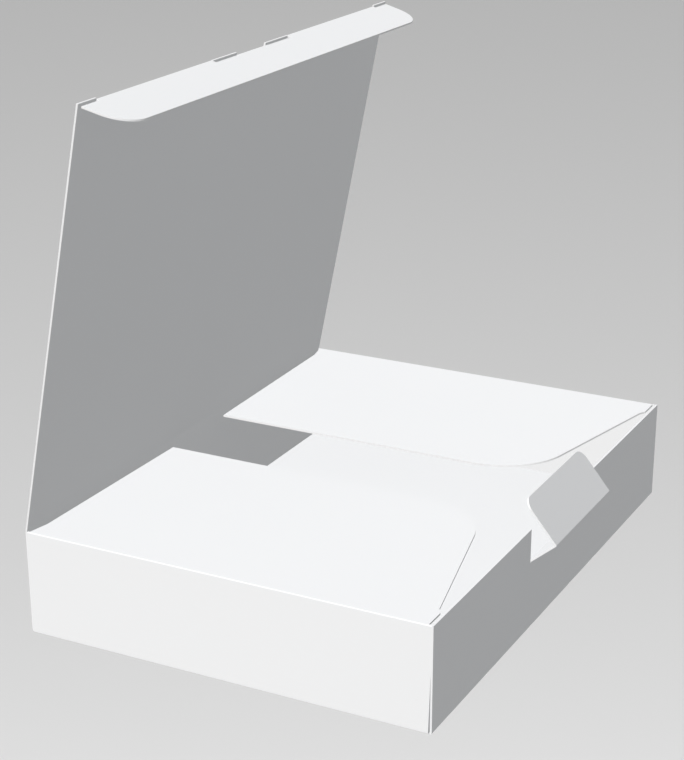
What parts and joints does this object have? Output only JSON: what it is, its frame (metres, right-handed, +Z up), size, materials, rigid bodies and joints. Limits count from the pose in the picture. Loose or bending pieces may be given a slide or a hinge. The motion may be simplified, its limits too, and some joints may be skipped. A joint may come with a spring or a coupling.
{
  "type": "mailer box",
  "caption": "Shallow white card mailer box with a hinged lid, tuck flap, two dust flaps and a folding lock tongue in its front wall.",
  "frame": {"origin": "centre of the underside of the tray, where it rests on a table", "axes": "+X along the long side, +Y from the front wall with the tongue to the back wall that carries the lid, +Z up"},
  "size_m": [0.3132, 0.2384, 0.2765],
  "materials": {
    "white_board": "matt white liner on thin corrugated board"
  },
  "bodies": {
    "tray": {"box_tray": "white_board"},
    "lid": {"lid": "white_board"},
    "tuck": {"tuck_flap": "white_board"},
    "tongue": {"lock_tongue": "white_board"}
  },
  "joints": [
    {"name": "lid_hinge", "type": "hinge", "parent": "tray", "child": "lid", "pos_m": [0, 0.112, 0.0571], "axis": [-1, 0, 0], "range_deg": [-78.3, 101.7]},
    {"name": "tuck_fold", "type": "hinge", "parent": "lid", "child": "tuck", "pos_m": [0, 0.06685, 0.27512], "axis": [-1, 0, 0], "range_deg": [0, 180]},
    {"name": "tongue_fold", "type": "hinge", "parent": "tray", "child": "tongue", "pos_m": [0, -0.112, 0.03825], "axis": [-1, 0, 0], "range_deg": [-11.75, 15.26]}
  ],
  "couplings": [
    {"joint": "tongue_fold", "follows": "lid_hinge", "ratio": 0.15}
  ]
}
